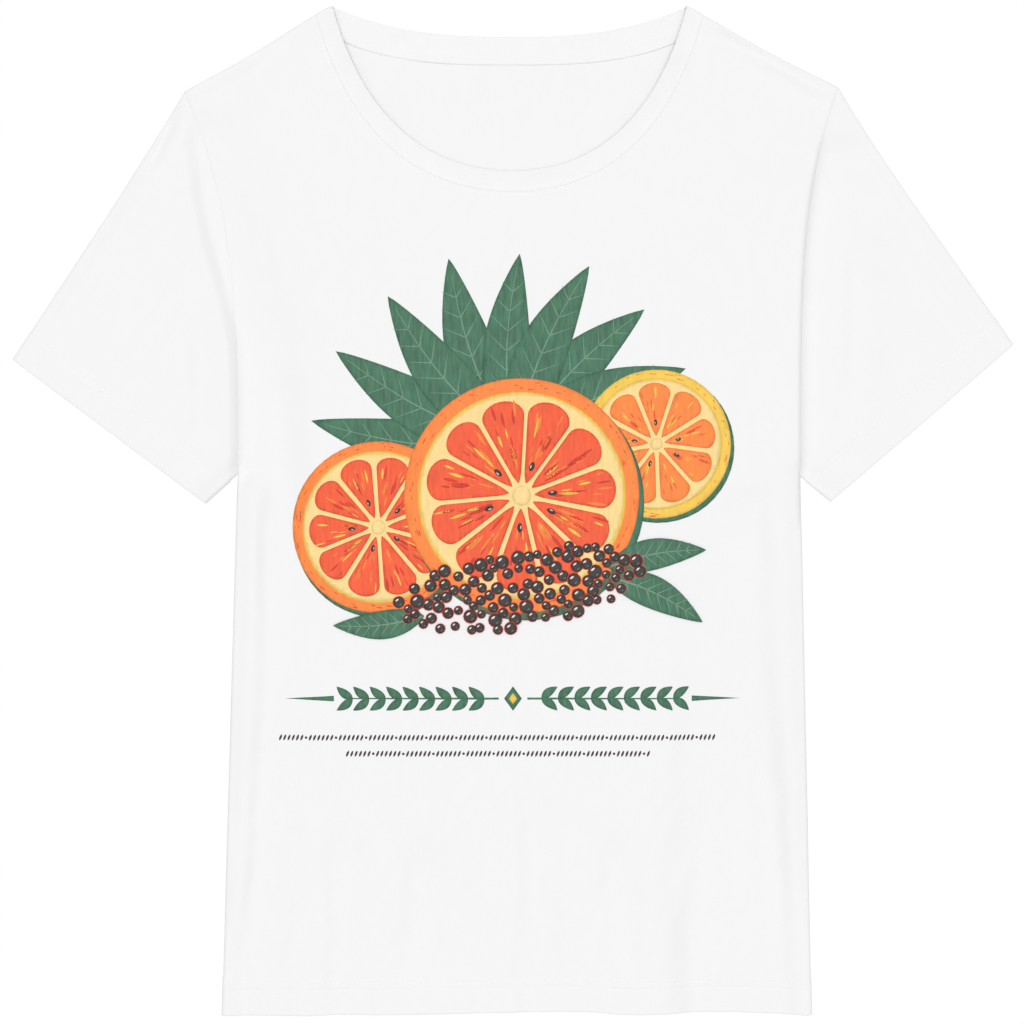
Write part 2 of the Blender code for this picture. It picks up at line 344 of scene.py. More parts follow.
FRONT_LEAVES = (
    ((0.066, -0.046), -26, 0.074, 0.023),
    ((0.066, -0.04), 10, 0.07, 0.022),
    ((-0.062, -0.074), 186, 0.064, 0.02),
)
BERRIES = 105
BERRY_PLACE = (0.004, -0.055)
BERRY_SPREAD = (0.086, 0.027)
BERRY_TURN = 0.17
BERRY_RADII = (0.0029, 0.0049)
BERRY_CLOSENESS = 0.86
BERRY_RIM = 1.1
BORDER_Y = -0.1316
BORDER_ENDS = (0.159, 0.125, 0.115)
BORDER_RULE = 0.0019
BORDER_STEM = (0.0008, 0.0014)
BORDER_LEAF = (0.0138, 0.006)
BORDER_LEAVES = (0.02, 0.0115)
BORDER_LEAF_SLANT = 0.75
DIAMOND_GAP = 0.01
DIAMONDS = (("green", 0.0062, 0.0085), ("yellow", 0.0028, 0.004))
SMALL_ROWS = ((-0.1589, -0.1625, 0.143), (-0.1701, -0.1155, 0.0965))
SMALL_PITCH = 0.003
SMALL_STROKE = (0.0046, 0.0015)
SMALL_STROKE_TURN = math.radians(68)
SMALL_DOT = 0.0009
SMALL_GROUP = 7
GLINT_TURN = math.radians(38)

# Light and camera. The camera looks straight down, and this width of floor fills its picture.
LENS = 100.0
SENSOR = 36.0
PICTURE_WIDTH = 0.7168
PICTURE_CENTRE = (-0.0007, -0.0014)
MIDDLE_HEIGHT = 0.0065
WORLD_STRENGTH = 0.6
SOFTBOX_POWER = 1.83
SOFTBOX_SPREAD = math.radians(50)
SOFTBOX_TILT = math.radians(6)
FLOOR_SIZE = 30.0
FLOOR_GLOW = 0.94
FLOOR_COLOUR = 0.06


def bezier(a, b, c, d):
    """Points on a cubic curve through a and d."""
    t = np.linspace(0, 1, CURVE_POINTS + 1)[:, None]
    a, b, c, d = (np.array(p, float) for p in (a, b, c, d))
    return a * (1 - t) ** 3 + b * 3 * t * (1 - t) ** 2 + c * 3 * t**2 * (1 - t) + d * t**3


def front_neckline(side, corner, low):
    """One side of a neckline of the front, from the middle up to a corner at the shoulder."""
    x, y = CORNERS[side][corner]
    steep = (x * (1 - NECK_STEEP_HANDLE[0]), y - (y - low) * NECK_STEEP_HANDLE[1])
    return bezier((0, low), (x * NECK_FLAT_HANDLE, low), steep, (x, y))


def back_neckline(side, corner, low, bend):
    """One side of a neckline of the back. bend is its power, and how much of its rise is near the corner."""
    x, y = CORNERS[side][corner]
    power, late = bend
    share = np.linspace(0, 1, CURVE_POINTS + 1)
    return np.stack([x * share, low + (y - low - late) * share**power + late * share**LATE_POWER], -1)


def armhole_x(y, side):
    """Where the armhole seam is at a height of the shirt."""
    low_x, low_y = CORNERS[side]["armpit"]
    high_x, high_y = CORNERS[side]["shoulder"]
    share = np.clip((y - low_y) / (high_y - low_y), 0, 1)
    return low_x + (high_x - low_x) * share ** ARMHOLE_SWEEP[side]


def armhole(side, start=0.0, end=1.0):
    """The armhole seam between two shares of its height, from the armpit's side up."""
    low, high = CORNERS[side]["armpit"][1], CORNERS[side]["shoulder"][1]
    y = low + (high - low) * np.linspace(start, end, CURVE_POINTS + 1)
    return np.stack([armhole_x(y, side), y], -1)


def both_sides(curves):
    """A whole curve from left to right, from its two halves that start in the middle."""
    return np.concatenate([curves[LEFT][::-1], curves[RIGHT][1:]])


def unit(vectors):
    """Vectors brought to length 1."""
    return vectors / np.linalg.norm(vectors, axis=-1, keepdims=True)


def left_of(way):
    """Directions turned a quarter to the left."""
    return np.stack([-way[..., 1], way[..., 0]], -1)


def near(points, line):
    """The distance of each point to a line, its place along it, and its side: 1 is left of the line's way."""
    line = np.array(line, float)
    lengths = np.linalg.norm(np.diff(line, axis=0), axis=1)
    before = np.concatenate([[0], np.cumsum(lengths)])
    nearest = np.full(points.shape[:-1], np.inf)
    place = np.zeros(points.shape[:-1])
    left = np.ones(points.shape[:-1])
    for start, end, length, done in zip(line, line[1:], lengths, before):
        way = (end - start) / length
        along = np.clip((points - start) @ way, 0, length)
        away = np.linalg.norm(points - start - along[..., None] * way, axis=-1)
        closer = away < nearest
        nearest = np.where(closer, away, nearest)
        place = np.where(closer, (done + along) / before[-1], place)
        left = np.where(closer, np.sign((points - start) @ left_of(way)), left)
    return nearest, place, left


def ease(share):
    """0 at 0 and below, 1 at 1 and above, and smooth between."""
    share = np.clip(share, 0, 1)
    return share * share * (3 - 2 * share)


def eased_table(x, table):
    """Reads a table of places and values, with smooth steps from one value to the next."""
    places, values = np.array(table, float).T
    i = np.clip(np.searchsorted(places, x) - 1, 0, len(places) - 2)
    share = ease((x - places[i]) / (places[i + 1] - places[i]))
    return values[i] + (values[i + 1] - values[i]) * share


FRONT_EDGES = {side: front_neckline(side, "band", FRONT_EDGE_LOW) for side in SIDES}
FRONT_SEAMS = {side: front_neckline(side, "neck", FRONT_SEAM_LOW) for side in SIDES}
BACK_EDGES = {side: back_neckline(side, "band", BACK_EDGE_LOW, BACK_EDGE_BEND) for side in SIDES}
BACK_SEAMS = {side: back_neckline(side, "neck", BACK_SEAM_LOW, BACK_SEAM_BEND) for side in SIDES}
FRONT_EDGE, FRONT_SEAM = both_sides(FRONT_EDGES), both_sides(FRONT_SEAMS)
BACK_EDGE, BACK_SEAM = both_sides(BACK_EDGES), both_sides(BACK_SEAMS)


def corner_line(side, *names):
    """A line through named corners of one side."""
    return np.array([CORNERS[side][name] for name in names])


CUFFS = {side: corner_line(side, "cuff_inner", "cuff_outer") for side in SIDES}
HEM = np.array([CORNERS[side]["hem"] for side in SIDES])


def sleeve_way(side):
    """The direction in which a sleeve's top edge runs out, and the one to its left."""
    start, end = corner_line(side, "shoulder", "cuff_outer")
    out = unit(end - start)
    return out, left_of(out)


def bowed(p, share, across, side):
    """Points of a sleeve moved in by its bow: share is how far out they are and across how far up."""
    bow = SLEEVE_BOW[side] * SLEEVE_BOW_SCALE * share * (1 - share) ** 2 * across**2
    return p - bow[..., None] * side * sleeve_way(side)[1]


def sleeve_top(side):
    """The folded top edge of a sleeve, from the shoulder to the cuff."""
    share = np.linspace(0, 1, BOW_POINTS)
    start, end = corner_line(side, "shoulder", "cuff_outer")
    return bowed(start + (end - start) * share[:, None], share, np.ones(BOW_POINTS), side)


def shoulder_bowed(p, side):
    """Points of a panel moved in by the bow of the shoulder's folded edge, and by less further from it."""
    start, end = corner_line(side, "neck", "shoulder")
    way = unit(end - start)
    inwards = -side * left_of(way)
    share = np.clip((p - start) @ way / np.linalg.norm(end - start), 0, 1)
    away = np.clip((p - start) @ inwards / SHOULDER_BOW_REACH, 0, 1)
    bow = SHOULDER_BOW * SHOULDER_BOW_SCALE * share**2 * (1 - share) ** 2 * (1 - ease(away))
    return p + bow[..., None] * inwards


def shoulder_top(side):
    """The folded edge of a shoulder, from the neckband to the sleeve."""
    start, end = corner_line(side, "neck", "shoulder")
    return shoulder_bowed(start + (end - start) * np.linspace(0, 1, BOW_POINTS)[:, None], side)


def top_fold(side):
    """The whole folded edge along the top of one side."""
    return np.concatenate([corner_line(side, "band"), shoulder_top(side), sleeve_top(side)[1:]])


EDGE_FOLDS = [top_fold(side) for side in SIDES]
EDGE_FOLDS += [corner_line(side, "cuff_inner", "armpit", "hem") for side in SIDES]


def from_folded_edge(p):
    """The distance of each point to the nearest folded edge, where the front and the back meet."""
    return np.minimum.reduce([near(p, fold)[0] for fold in EDGE_FOLDS])


def front_level(p):
    """The height of the front before it turns over its folded edges."""
    from_neck = ease(near(p, FRONT_EDGE)[0] / NECK_SLOPE)
    ends = [near(p, end)[0] for end in (*CUFFS.values(), HEM)]
    from_end = ease(np.minimum.reduce(ends) / OPEN_END_SLOPE)
    from_side = ease(from_folded_edge(p) / SIDE_SLOPE)
    level = FRONT_HEIGHT - (FRONT_HEIGHT - NECK_HEIGHT) * (1 - from_neck)
    level = level - (FRONT_HEIGHT - OPEN_END_HEIGHT) * (1 - from_end)
    return level - (level - np.minimum(level, SIDE_HEIGHT)) * (1 - from_side)


def settled(level):
    """A level kept above the lowest that the front may lie, with a smooth turn."""
    over = level - LOWEST
    return LOWEST + (over + np.sqrt(over**2 + LOWEST_ROUND**2)) / 2


def rounded(p, level):
    """Brings a level down, or up, to the folded edge where the front and the back meet."""
    away = from_folded_edge(p) - EDGE_SNAP
    turn = np.sqrt(1 - (1 - np.clip(away / FOLD_REACH, 0, 1)) ** 2)
    meeting = BACK_HEIGHT + (upper_level(p) - BACK_HEIGHT) * FOLD_MEETING
    return meeting + (level - meeting) * turn


def folds(p):
    """The height of all the folds."""
    total = np.zeros(p.shape[:-1])
    for route, depth, right_width, left_width in FOLDS:
        route = np.array(route)
        away, place, left = near(p, route[:, :2])
        steps = np.linalg.norm(np.diff(route[:, :2], axis=0), axis=1)
        places = np.concatenate([[0], np.cumsum(steps)]) / steps.sum()
        strength = eased_table(place, np.column_stack([places, route[:, 2]]))
        share = np.clip(away / np.where(left > 0, left_width, right_width), 0, 1)
        total = total - depth * strength * (1 + np.cos(math.pi * share)) / 2
    return total


def waves(p, kind=SLOW_WAVES, seed=WAVE_SEED):
    """The unevenness of laid cloth, as a sum of waves that lie mostly across the shirt."""
    lengths, steepness, spread = kind
    draw = np.random.default_rng(seed)
    total = np.zeros(p.shape[:-1])
    for _ in range(WAVES):
        length = np.exp(draw.uniform(*np.log(lengths)))
        turn = draw.normal(0, spread)
        phase = draw.uniform(0, 2 * math.pi)
        along = p[..., 0] * math.cos(turn) + p[..., 1] * math.sin(turn)
        height = steepness * length / (2 * math.pi) / math.sqrt(WAVES / 2)
        total = total + height * np.sin(2 * math.pi * along / length + phase)
    return total


def groove(away, depth, width):
    """A narrow groove at distance 0."""
    return -depth * np.exp(-((away / width) ** 2))


def stitch_grooves(away, rows):
    """The cloth is drawn in a little along each row of stitches."""
    return sum(groove(away - row, depth, STITCH_GROOVE_WIDTH) for row, depth in rows)


def sewn(away, depth=GROOVE_DEPTH):
    """The profile across a seam: a shallow groove, and the low swell of the turned edge beside it."""
    return groove(away, depth, GROOVE_WIDTH) - groove(away - LIP_PLACE, LIP_RISE, LIP_WIDTH)


def past_armhole(p, side):
    """The distance of points past the armhole seam, towards the sleeve's end."""
    return side * (p[..., 0] - armhole_x(p[..., 1], side))


def armhole_level(p, side):
    """What the armhole adds to the height: its fine groove, and the fall of the sleeve beyond it."""
    past = past_armhole(p, side)
    outside = np.maximum(past + ARMHOLE_LEAD[side], 0)
    y = p[..., 1]
    fall = eased_table(y, ARMHOLE_FALL[side]) * np.tanh(outside / eased_table(y, ARMHOLE_REACH[side]))
    above = ease((y - CORNERS[side]["armpit"][1]) / ARMPIT_FADE + 1)
    seam = groove(past, ARMHOLE_GROOVE[side], ARMHOLE_GROOVE_WIDTH) * above
    return seam - fall * np.exp(-((outside / SLEEVE_RETURN) ** 2))


def upper_level(p):
    """The height of the front and of the sleeves' upper layer, before they turn over their folded edges."""
    low = ease((RIPPLE_TOP - p[..., 1]) / RIPPLE_RISE)
    level = front_level(p) + folds(p) + waves(p) + waves(p, RIPPLES, RIPPLE_SEED) * low
    return settled(level + sum(armhole_level(p, side) for side in SIDES))


def front_height(p):
    """The height of the front panel's middle."""
    from_seam = near(p, FRONT_SEAM)[0]
    level = upper_level(p) + sewn(from_seam) + stitch_grooves(from_seam, NECK_STITCHES)
    return rounded(p, level + stitch_grooves(near(p, HEM)[0], HEM_STITCHES))


def back_height(p):
    """The height of the back panel's middle, which lies on the floor."""
    level = BACK_HEIGHT + np.maximum(waves(p, seed=WAVE_SEED + 1) * BACK_WAVES + BACK_SLACK, 0)
    level = level + BACK_HEM_LIFT * (1 - ease((near(p, HEM)[0] - HEM_DEPTH) / HEM_RISE))
    return rounded(p, level + groove(near(p, BACK_SEAM)[0], BACK_GROOVE_DEPTH, GROOVE_WIDTH))


def sleeve_height(p, side):
    """The height of the upper layer of a sleeve."""
    return rounded(p, upper_level(p) + stitch_grooves(near(p, CUFFS[side])[0], CUFF_STITCHES))


def sleeve_back_height(p, side):
    """The height of the lower layer of a sleeve."""
    level = BACK_HEIGHT + BACK_HEM_LIFT * (1 - ease((near(p, CUFFS[side])[0] - CUFF_DEPTH) / HEM_RISE))
    return rounded(p, level)


def marks(length, step, start=(), end=()):
    """Distances from 0 to length: close rows at an end that has them, and even steps between."""
    scale = min(1, length / SHORT_LINE)
    first = [0, *(row * scale for row in start)]
    last = [length - row * scale for row in reversed((0, *end))]
    count = step if isinstance(step, int) else max(round((last[0] - first[-1]) / step), 1)
    even = np.linspace(first[-1], last[0], count + 1)
    return np.array([*first[:-1], *even, *last[1:]])


def along(curve, distances):
    """Points on a curve at distances from its start."""
    curve = np.array(curve, float)
    lengths = np.concatenate([[0], np.cumsum(np.linalg.norm(np.diff(curve, axis=0), axis=1))])
    return np.stack([np.interp(distances, lengths, curve[:, axis]) for axis in (0, 1)], -1)


def length_of(curve):
    """The length of a line of straight stretches."""
    return float(np.linalg.norm(np.diff(np.array(curve, float), axis=0), axis=1).sum())


def even_points(curve, count, start=(), end=()):
    """Points on a whole curve, with this many even steps."""
    return along(curve, marks(length_of(curve), count, start, end))


def joined(*stretches):
    """Stretches of points end to end, each end that two of them share counted once."""
    return np.concatenate([stretches[0], *(stretch[1:] for stretch in stretches[1:])])


def hem_wave(p):
    """Points of a panel with its hem's edge moved as it lies."""
    share = 1 - ease((p[..., 1] - HEM[0][1]) / HEM_WAVE_REACH)
    return p + np.stack([np.zeros_like(share), eased_table(p[..., 0], HEM_WAVE) * share], -1)


def panel_net(side, seam, step):
    """Rows of points of half a panel, from the hem up to the shoulder, each from the middle outwards."""
    corners = CORNERS[side]
    hem_y = HEM[0][1]
    level = sum(CORNERS[either]["armpit"][1] for either in SIDES) / 2
    split = (seam[0][1] - level) / (corners["shoulder"][1] - level)
    split = min(split - ROW_FALL, HIGHEST_SPLIT)
    body = round((level - hem_y) / step)
    chest = round((seam[0][1] - level) / step)
    neck = round(CORNERS[RIGHT]["neck"][0] * NECK_ROWS_SHARE / step)
    inner = joined(
        even_points([(0, hem_y), (0, level)], body, start=HEM_ROWS),
        even_points([(0, level), seam[0]], chest),
        even_points(seam, neck, end=CLOSE_ROWS),
    )
    outer = joined(
        even_points(corner_line(side, "hem", "armpit"), body, start=HEM_ROWS),
        even_points(armhole(side, 0, split), chest),
        even_points(armhole(side, split, 1), neck, end=CLOSE_ROWS),
    )
    across = max(round(abs(corners["armpit"][0]) / step), 1)
    rows = [even_points([a, b], across, start=CLOSE_ROWS, end=CLOSE_ROWS) for a, b in zip(inner, outer)]
    return shoulder_bowed(np.array(rows), side)


def sleeve_net(side, step):
    """Rows of points of one layer of a sleeve, from the armhole to the cuff, each from the underarm up."""
    seam = armhole(side)
    across = max(round(length_of(seam) / step), 1)
    starts = even_points(seam, across, start=CLOSE_ROWS, end=CLOSE_ROWS)
    ends = even_points(CUFFS[side], across, start=CLOSE_ROWS, end=CLOSE_ROWS)
    out = max(round(length_of(corner_line(side, "shoulder", "cuff_outer")) / step), 1)
    cuff_rows = [row * CUFF_DEPTH / HEM_DEPTH for row in HEM_ROWS]
    lines = [even_points([a, b], out, start=CLOSE_ROWS, end=cuff_rows) for a, b in zip(starts, ends)]
    net = np.array(lines)
    share = np.linalg.norm(net - net[:, :1], axis=-1)
    share = share / share[:, -1:]
    up = np.linalg.norm(ends - ends[0], axis=1) / np.linalg.norm(ends[-1] - ends[0])
    return bowed(net, share, np.broadcast_to(up[:, None], share.shape), side).transpose(1, 0, 2)


def quads(rows, columns, first=0):
    """Faces of a grid of points, as rows of four indices."""
    i = np.arange(rows - 1)[:, None] * columns + np.arange(columns - 1)[None, :] + first
    return np.stack([i, i + 1, i + columns + 1, i + columns], -1).reshape(-1, 4)


def new_object(name, data):
    """A new object in the scene."""
    obj = bpy.data.objects.new(name, data)
    bpy.context.scene.collection.objects.link(obj)
    return obj


def mesh_object(name, points, faces, weave, weld=False):
    """An object from points and faces. weave gives each point's place on the flat cloth, for the knit."""
    mesh = bpy.data.meshes.new(name)
    mesh.from_pydata(points.tolist(), [], faces.tolist() if hasattr(faces, "tolist") else faces)
    layer = mesh.attributes.new("weave", "FLOAT_VECTOR", "POINT")
    flat = np.zeros((len(points), 3), np.float32)
    flat[:, :2] = weave
    layer.data.foreach_set("vector", flat.ravel())
    if weld:
        work = bmesh.new()
        work.from_mesh(mesh)
        bmesh.ops.remove_doubles(work, verts=work.verts, dist=WELD)
        bmesh.ops.recalc_face_normals(work, faces=work.faces)
        work.to_mesh(mesh)
        work.free()
    mesh.update()
    return new_object(name, mesh)


def flat_places(obj):
    """The place of each vertex seen from above."""
    places = np.zeros(len(obj.data.vertices) * 3)
    obj.data.vertices.foreach_get("co", places)
    return places.reshape(-1, 3)[:, :2]


def solidify(obj, thickness, weights):
    """Gives cloth its thickness, half to each side. weights says what share of it each vertex has."""
    obj.data.shade_smooth()
    shell = obj.modifiers.new("Cloth", "SOLIDIFY")
    shell.thickness = thickness
    shell.offset = 0
    shell.use_even_offset = False
    group = obj.vertex_groups.new(name="thickness")
    for i, weight in enumerate(weights.tolist()):
        group.add([i], weight, "REPLACE")
    shell.vertex_group = group.name


def edge_share(away, thinnest=THINNEST):
    """The share of its thickness that cloth has near a rounded edge."""
    return np.maximum(np.sqrt(1 - (1 - np.clip(away / EDGE_ROUND, 0, 1)) ** 2), thinnest)


def hem_share(away, depth):
    """The share of a turned hem's thickness that the cloth has at a distance from the hem's edge."""
    single = 1 / HEM_LAYERS
    return single + (1 - single) * (1 - ease((away - depth) / HEM_TAPER))


def panel(name, seams, heights, step):
    """A front or back panel, from its two halves."""
    nets = [panel_net(side, seams[side], step) for side in SIDES]
    points = np.concatenate([net.reshape(-1, 2) for net in nets])
    first = nets[0].shape[0] * nets[0].shape[1]
    faces = np.concatenate([quads(*nets[0].shape[:2])[:, ::-1], quads(*nets[1].shape[:2], first)])
    placed = np.column_stack([hem_wave(points), heights(points)])
    obj = mesh_object(name, placed, faces, points, weld=True)
    places = flat_places(obj)
    weights = hem_share(near(places, HEM)[0], HEM_DEPTH) * edge_share(near(places, hem_wave(dense_hem()))[0])
    weights = weights * edge_share(near(places, both_sides(seams))[0], THINNEST_SEAM)
    solidify(obj, JERSEY * HEM_LAYERS, weights)
    return obj


def dense_hem():
    """The hem's straight line with enough points to follow its wave."""
    return even_points(HEM, CURVE_POINTS)


def sleeve(name, side):
    """A sleeve: its upper and its lower layer, joined at the folds."""
    net = sleeve_net(side, FRONT_STEP)
    points = net.reshape(-1, 2)
    layers = [
        np.column_stack([points, heights(points, side)]) for heights in (sleeve_height, sleeve_back_height)
    ]
    faces = quads(*net.shape[:2])[:, ::-side]
    both = np.concatenate([faces, faces[:, ::-1] + len(points)])
    weave = points @ np.stack(sleeve_way(side)[::-1], -1)
    obj = mesh_object(name, np.concatenate(layers), both, np.concatenate([weave, weave]), weld=True)
    away = near(flat_places(obj), CUFFS[side])[0]
    solidify(obj, JERSEY * HEM_LAYERS, hem_share(away, CUFF_DEPTH) * edge_share(away))
    return obj


def band_net(seam, edge, shares):
    """Rows of points of the front or back half of the neckband, from its seam to its edge."""
    count = round(length_of(seam) / RIB_PITCH) * COLUMNS_PER_RIB
    sewn_row, free_row = (even_points(curve, count, CLOSE_ROWS[:3], CLOSE_ROWS[:3]) for curve in (seam, edge))
    return sewn_row + (free_row - sewn_row) * shares[:, None, None]


def neckband(name):
    """The ring of ribbing, flattened at the shoulders, with its ribs as relief."""
    front_length, back_length = length_of(FRONT_SEAM), length_of(BACK_SEAM)
    shares = marks(1, BAND_ROWS, start=BAND_SEAM_ROWS, end=BAND_EDGE_ROWS)
    front = band_net(FRONT_SEAM, FRONT_EDGE, shares)
    back = band_net(BACK_SEAM, BACK_EDGE, shares)
    seam = groove(shares * BAND_WIDTH, GROOVE_DEPTH, GROOVE_WIDTH)[:, None]
    sewn_z = upper_level(front[0])
    free_z = eased_table(front[-1][:, 1], BAND_EDGE_HEIGHT)
    front_z = rounded(front, sewn_z + (free_z - sewn_z) * shares[:, None] ** BAND_BEND + seam)
    back_z = rounded(back, BACK_HEIGHT + (RIB - JERSEY) / 2 + BACK_BAND_LIFT + 0 * back[..., 0] + seam / 2)
    front_places = np.linspace(0, front_length, front.shape[1])
    back_places = np.linspace(front_length, front_length + back_length, back.shape[1])
    flat = np.concatenate([front, back[:, ::-1][:, 1:]], 1)
    z = np.concatenate([front_z, back_z[:, ::-1][:, 1:]], 1)
    around = np.concatenate([front_places, back_places[1:]])
    z = z + RIB_RELIEF * np.sin(2 * math.pi * around / RIB_PITCH) * edge_share(shares * RIB_RISE)[:, None]
    points = np.concatenate([flat, z[..., None]], -1)
    weave = np.stack(np.broadcast_arrays(around[None, :], shares[:, None] * BAND_WIDTH), -1)
    faces = quads(*points.shape[:2])
    obj = mesh_object(name, points.reshape(-1, 3), faces, weave.reshape(-1, 2), weld=True)
    places = flat_places(obj)
    free, sewn_away = (
        np.minimum(*(near(places, curve)[0] for curve in curves))
        for curves in ((FRONT_EDGE, BACK_EDGE), (FRONT_SEAM, BACK_SEAM))
    )
    solidify(obj, RIB, edge_share(free) * edge_share(sewn_away, THINNEST_SEAM * JERSEY / RIB))
    return obj


def stitch_shape():
    """One stitch along X, about its middle: points and faces of a short rounded rod."""
    points, faces = [], []
    for x, share in STITCH_RINGS:
        radius = share * STITCH_RADIUS
        for i in range(STITCH_SIDES):
            turn = 2 * math.pi * i / STITCH_SIDES
            y, z = radius * STITCH_WIDENING * math.cos(turn), radius * math.sin(turn)
            points.append((x * STITCH_LENGTH, y, z))
    last = (len(STITCH_RINGS) - 1) * STITCH_SIDES
    for ring in range(0, last, STITCH_SIDES):
        for i in range(STITCH_SIDES):
            a, b = ring + i, ring + (i + 1) % STITCH_SIDES
            faces.append((a, a + STITCH_SIDES, b + STITCH_SIDES, b))
    faces.append(tuple(range(STITCH_SIDES)))
    faces.append(tuple(reversed(range(last, last + STITCH_SIDES))))
    return np.array(points), faces


def offset_line(line, away):
    """A line moved sideways by a distance, to the left of its direction."""
    line = np.array(line, float)
    return line + away * left_of(unit(np.gradient(line, axis=0)))


def stitched(name, rows):
    """Stitches along rows. A row is a line, the function of its cloth's height, and their lift off it."""
    shape, shape_faces = stitch_shape()
    points, faces = [], []
    for line, heights, lift in rows:
        middles = (np.arange(int(length_of(line) / STITCH_PITCH)) + 0.5) * STITCH_PITCH
        spots = along(line, middles)
        ahead = along(line, np.minimum(middles + STITCH_LENGTH / 3, length_of(line)))
        z = heights(spots)
        way = unit(np.column_stack([ahead - spots, heights(ahead) - z]))
        side = unit(np.cross((0.0, 0.0, 1.0), way))
        turns = np.stack([way, side, np.cross(way, side)], 1)
        for spot, turn in zip(np.column_stack([spots, z + lift]), turns):
            first = len(points) * len(shape)
            points.append(spot + shape @ turn)
            faces += [tuple(first + index for index in face) for face in shape_faces]
    points = np.concatenate(points)
    obj = mesh_object(name, points, faces, points[:, :2])
    obj.data.shade_smooth()
    return obj


INK = {name: [] for name in INKS}


def draw(ink, layer, outline):
    """Adds a shape of one ink to the print."""
    INK[ink].append((layer, np.array(outline, float)))


def turned(points, turn, place):
    """Points turned about their origin and moved to a place."""
    c, s = math.cos(turn), math.sin(turn)
    return np.array(points) @ np.array([[c, s], [-s, c]]) + np.array(place)


def polar(place, turn, out):
    """The point at a distance from a place in one direction."""
    return place + out * np.array([math.cos(turn), math.sin(turn)])


def closed(x, middle, half):
    """An outline from places along it, and the middle and the half width at each."""
    top, bottom = (np.stack([x, middle + way * half], -1) for way in (1, -1))
    return np.concatenate([top, bottom[1:-1][::-1]])


def disc(place, radius, uneven=0.0, draw_from=None):
    """A round shape, drawn by hand if it is uneven."""
    count = int(np.clip(radius / DISC_STEP, *DISC_POINTS))
    turn = np.linspace(0, 2 * math.pi, count, endpoint=False)
    r = np.full(count, radius)
    if uneven:
        for wave in range(2, 9):
            r = r + uneven * radius / wave * np.sin(wave * turn + draw_from.uniform(0, 2 * math.pi))
    return np.stack([r * np.cos(turn), r * np.sin(turn)], -1) + np.array(place)


def lens(place, turn, length, width, blunt=0.8, count=9):
    """A stroke, seed or leaf: pointed at both ends, with its length along the turn."""
    t = np.linspace(0, 1, count)
    return turned(closed((t - 0.5) * length, 0, width / 2 * np.sin(math.pi * t) ** blunt), turn, place)


def leaf_share(t):
    """The width of a leaf along its length, as a share of its greatest."""
    return np.sin(math.pi * t**LEAF_SWELL) ** LEAF_FULLNESS


def leaf_bend(t, length):
    """How far a leaf's middle lies off its straight line."""
    return LEAF_BEND * length * np.sin(math.pi * t)


def leaf_outline(base, turn, length, width):
    """A leaf from its base: widest below its middle, drawn out to a point, and a little bent."""
    t = np.linspace(0, 1, 26)
    return turned(closed(t * length, leaf_bend(t, length), width / 2 * leaf_share(t)), turn, base)


def ribbon(line, widths):
    """A stroke along a line that narrows from one width to another."""
    width = np.linspace(*widths, len(line))[:, None] / 2
    return np.concatenate([offset_line(line, width), offset_line(line, -width)[::-1]])


def draw_leaf(layer, base, turn, length, width):
    """A leaf with its midrib and veins."""
    draw("green", layer, leaf_outline(base, turn, length, width))
    t = np.linspace(*MIDRIB_SPAN, 12)
    midrib = turned(np.stack([t * length, leaf_bend(t, length)], -1), turn, base)
    draw("pale_green", layer + 1, ribbon(midrib, MIDRIB_WIDTHS))
    for share in np.linspace(*VEIN_SPAN, LEAF_VEINS):
        reach = width * VEIN_REACH * leaf_share(share)
        start = np.array([share * length, leaf_bend(share, length)])
        for way in (-1, 1):
            end = start + np.array([reach * VEIN_SLANT, way * reach])
            vein = turned(np.linspace(start, end, 4), turn, base)
            draw("pale_green", layer + 1, ribbon(vein, VEIN_WIDTHS))


def segment_outline(inner, outer, half_turn, gap):
    """A fruit's segment in its own turn: a wedge with rounded corners."""
    radii = inner + (outer - inner) * (1 - np.cos(np.linspace(0, math.pi, 24))) / 2
    low, high = inner + (outer - inner) * 0.14, outer - (outer - inner) * 0.2
    past = np.maximum((radii - high) / (outer - high), (low - radii) / (low - inner))
    round_off = np.sqrt(np.clip(1 - np.maximum(past, 0) ** 2, 0, 1))
    half = (half_turn - np.arcsin(np.minimum(gap / radii, 0.9))) * round_off
    return closed(radii * np.cos(half), 0, radii * np.sin(half))


